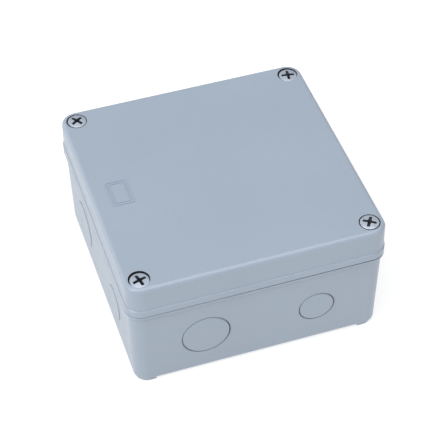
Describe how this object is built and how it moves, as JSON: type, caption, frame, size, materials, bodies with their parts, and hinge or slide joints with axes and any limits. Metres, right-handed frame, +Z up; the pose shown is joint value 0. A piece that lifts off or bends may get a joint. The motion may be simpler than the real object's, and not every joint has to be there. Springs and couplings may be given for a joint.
{
  "type": "electrical junction box",
  "caption": "Square surface-mounting plastic junction box with a deep screwed lid, wall knockouts, sealed rim and a screw terminal block inside.",
  "frame": {"origin": "centre of the footprint on the plane of the four feet", "axes": "+Z up through the lid; -Y is the front wall, +X the right wall seen from the front; the box hangs or stands on its floor"},
  "size_m": [0.11, 0.11, 0.0582],
  "materials": {
    "base_plastic": "fine moulded satin, grey-blue",
    "lid_plastic": "fine moulded satin, grey-blue",
    "gasket_rubber": "matte closed-cell rubber",
    "insert_brass": "turned and knurled",
    "screw_steel": "bright zinc plated",
    "retainer_nylon": "natural nylon",
    "terminal_plastic": "light grey polyamide",
    "terminal_brass": "nickel flashed brass",
    "terminal_plate_steel": "zinc plated",
    "terminal_screw_steel": "zinc plated"
  },
  "bodies": {
    "base": {"base": "base_plastic", "threaded_inserts": "insert_brass", "terminal_block_body": "terminal_plastic", "terminal_cages": "terminal_brass", "terminal_fixing_screws": "terminal_screw_steel"},
    "lid": {"lid": "lid_plastic", "lid_gasket": "gasket_rubber"},
    "retainer_front_left": {"screw_retainer_front_left": "retainer_nylon"},
    "lid_screw_front_left": {"lid_screw_front_left": "screw_steel"},
    "retainer_front_right": {"screw_retainer_front_right": "retainer_nylon"},
    "lid_screw_front_right": {"lid_screw_front_right": "screw_steel"},
    "retainer_rear_right": {"screw_retainer_rear_right": "retainer_nylon"},
    "lid_screw_rear_right": {"lid_screw_rear_right": "screw_steel"},
    "retainer_rear_left": {"screw_retainer_rear_left": "retainer_nylon"},
    "lid_screw_rear_left": {"lid_screw_rear_left": "screw_steel"},
    "knockout_front_large": {"knockout_front_large": "base_plastic"},
    "knockout_front_small": {"knockout_front_small": "base_plastic"},
    "knockout_right_large": {"knockout_right_large": "base_plastic"},
    "knockout_right_small": {"knockout_right_small": "base_plastic"},
    "knockout_rear_large": {"knockout_rear_large": "base_plastic"},
    "knockout_rear_small": {"knockout_rear_small": "base_plastic"},
    "knockout_left_large": {"knockout_left_large": "base_plastic"},
    "knockout_left_small": {"knockout_left_small": "base_plastic"},
    "clamp_plate_1": {"clamp_plate_1": "terminal_plate_steel"},
    "terminal_screw_1": {"terminal_screw_1": "terminal_screw_steel"},
    "clamp_plate_2": {"clamp_plate_2": "terminal_plate_steel"},
    "terminal_screw_2": {"terminal_screw_2": "terminal_screw_steel"},
    "clamp_plate_3": {"clamp_plate_3": "terminal_plate_steel"},
    "terminal_screw_3": {"terminal_screw_3": "terminal_screw_steel"},
    "clamp_plate_4": {"clamp_plate_4": "terminal_plate_steel"},
    "terminal_screw_4": {"terminal_screw_4": "terminal_screw_steel"},
    "clamp_plate_5": {"clamp_plate_5": "terminal_plate_steel"},
    "terminal_screw_5": {"terminal_screw_5": "terminal_screw_steel"}
  },
  "joints": [
    {"name": "lid_lift", "type": "slide", "parent": "base", "child": "lid", "axis": [0, 0, 1], "range_m": [0, 0.07]},
    {"name": "lid_screw_rise_front_left", "type": "slide", "parent": "lid", "child": "retainer_front_left", "axis": [0, 0, 1], "range_m": [0, 0.0072]},
    {"name": "lid_screw_turn_front_left", "type": "hinge", "parent": "retainer_front_left", "child": "lid_screw_front_left", "pos_m": [-0.0481, -0.0481, 0.0549], "axis": [0, 0, 1], "range_deg": [0, 3704]},
    {"name": "lid_screw_rise_front_right", "type": "slide", "parent": "lid", "child": "retainer_front_right", "axis": [0, 0, 1], "range_m": [0, 0.0072]},
    {"name": "lid_screw_turn_front_right", "type": "hinge", "parent": "retainer_front_right", "child": "lid_screw_front_right", "pos_m": [0.0481, -0.0481, 0.0549], "axis": [0, 0, 1], "range_deg": [0, 3704]},
    {"name": "lid_screw_rise_rear_right", "type": "slide", "parent": "lid", "child": "retainer_rear_right", "axis": [0, 0, 1], "range_m": [0, 0.0072]},
    {"name": "lid_screw_turn_rear_right", "type": "hinge", "parent": "retainer_rear_right", "child": "lid_screw_rear_right", "pos_m": [0.0481, 0.0481, 0.0549], "axis": [0, 0, 1], "range_deg": [0, 3704]},
    {"name": "lid_screw_rise_rear_left", "type": "slide", "parent": "lid", "child": "retainer_rear_left", "axis": [0, 0, 1], "range_m": [0, 0.0072]},
    {"name": "lid_screw_turn_rear_left", "type": "hinge", "parent": "retainer_rear_left", "child": "lid_screw_rear_left", "pos_m": [-0.0481, 0.0481, 0.0549], "axis": [0, 0, 1], "range_deg": [0, 3704]},
    {"name": "knockout_push_front_large", "type": "slide", "parent": "base", "child": "knockout_front_large", "axis": [0, 0.9997, 0.0236], "range_m": [0, 0.012]},
    {"name": "knockout_push_front_small", "type": "slide", "parent": "base", "child": "knockout_front_small", "axis": [0, 0.9997, 0.0236], "range_m": [0, 0.012]},
    {"name": "knockout_push_right_large", "type": "slide", "parent": "base", "child": "knockout_right_large", "axis": [-0.9997, 0, 0.0236], "range_m": [0, 0.012]},
    {"name": "knockout_push_right_small", "type": "slide", "parent": "base", "child": "knockout_right_small", "axis": [-0.9997, 0, 0.0236], "range_m": [0, 0.012]},
    {"name": "knockout_push_rear_large", "type": "slide", "parent": "base", "child": "knockout_rear_large", "axis": [0, -0.9997, 0.0236], "range_m": [0, 0.012]},
    {"name": "knockout_push_rear_small", "type": "slide", "parent": "base", "child": "knockout_rear_small", "axis": [0, -0.9997, 0.0236], "range_m": [0, 0.012]},
    {"name": "knockout_push_left_large", "type": "slide", "parent": "base", "child": "knockout_left_large", "axis": [0.9997, 0, 0.0236], "range_m": [0, 0.012]},
    {"name": "knockout_push_left_small", "type": "slide", "parent": "base", "child": "knockout_left_small", "axis": [0.9997, 0, 0.0236], "range_m": [0, 0.012]},
    {"name": "clamp_plate_rise_1", "type": "slide", "parent": "base", "child": "clamp_plate_1", "axis": [0, 0, 1], "range_m": [0, 0.003]},
    {"name": "terminal_screw_turn_1", "type": "hinge", "parent": "clamp_plate_1", "child": "terminal_screw_1", "pos_m": [-0.022, 0, 0.0194], "axis": [0, 0, 1], "range_deg": [0, 1801]},
    {"name": "clamp_plate_rise_2", "type": "slide", "parent": "base", "child": "clamp_plate_2", "axis": [0, 0, 1], "range_m": [0, 0.003]},
    {"name": "terminal_screw_turn_2", "type": "hinge", "parent": "clamp_plate_2", "child": "terminal_screw_2", "pos_m": [-0.011, 0, 0.0194], "axis": [0, 0, 1], "range_deg": [0, 1801]},
    {"name": "clamp_plate_rise_3", "type": "slide", "parent": "base", "child": "clamp_plate_3", "axis": [0, 0, 1], "range_m": [0, 0.003]},
    {"name": "terminal_screw_turn_3", "type": "hinge", "parent": "clamp_plate_3", "child": "terminal_screw_3", "pos_m": [0, 0, 0.0194], "axis": [0, 0, 1], "range_deg": [0, 1801]},
    {"name": "clamp_plate_rise_4", "type": "slide", "parent": "base", "child": "clamp_plate_4", "axis": [0, 0, 1], "range_m": [0, 0.003]},
    {"name": "terminal_screw_turn_4", "type": "hinge", "parent": "clamp_plate_4", "child": "terminal_screw_4", "pos_m": [0.011, 0, 0.0194], "axis": [0, 0, 1], "range_deg": [0, 1801]},
    {"name": "clamp_plate_rise_5", "type": "slide", "parent": "base", "child": "clamp_plate_5", "axis": [0, 0, 1], "range_m": [0, 0.003]},
    {"name": "terminal_screw_turn_5", "type": "hinge", "parent": "clamp_plate_5", "child": "terminal_screw_5", "pos_m": [0.022, 0, 0.0194], "axis": [0, 0, 1], "range_deg": [0, 1801]}
  ],
  "couplings": [
    {"joint": "lid_screw_turn_front_left", "follows": "lid_screw_rise_front_left", "rad_per_m": 8976},
    {"joint": "lid_screw_turn_front_right", "follows": "lid_screw_rise_front_right", "rad_per_m": 8976},
    {"joint": "lid_screw_turn_rear_right", "follows": "lid_screw_rise_rear_right", "rad_per_m": 8976},
    {"joint": "lid_screw_turn_rear_left", "follows": "lid_screw_rise_rear_left", "rad_per_m": 8976},
    {"joint": "terminal_screw_turn_1", "follows": "clamp_plate_rise_1", "rad_per_m": 10472},
    {"joint": "terminal_screw_turn_2", "follows": "clamp_plate_rise_2", "rad_per_m": 10472},
    {"joint": "terminal_screw_turn_3", "follows": "clamp_plate_rise_3", "rad_per_m": 10472},
    {"joint": "terminal_screw_turn_4", "follows": "clamp_plate_rise_4", "rad_per_m": 10472},
    {"joint": "terminal_screw_turn_5", "follows": "clamp_plate_rise_5", "rad_per_m": 10472}
  ]
}
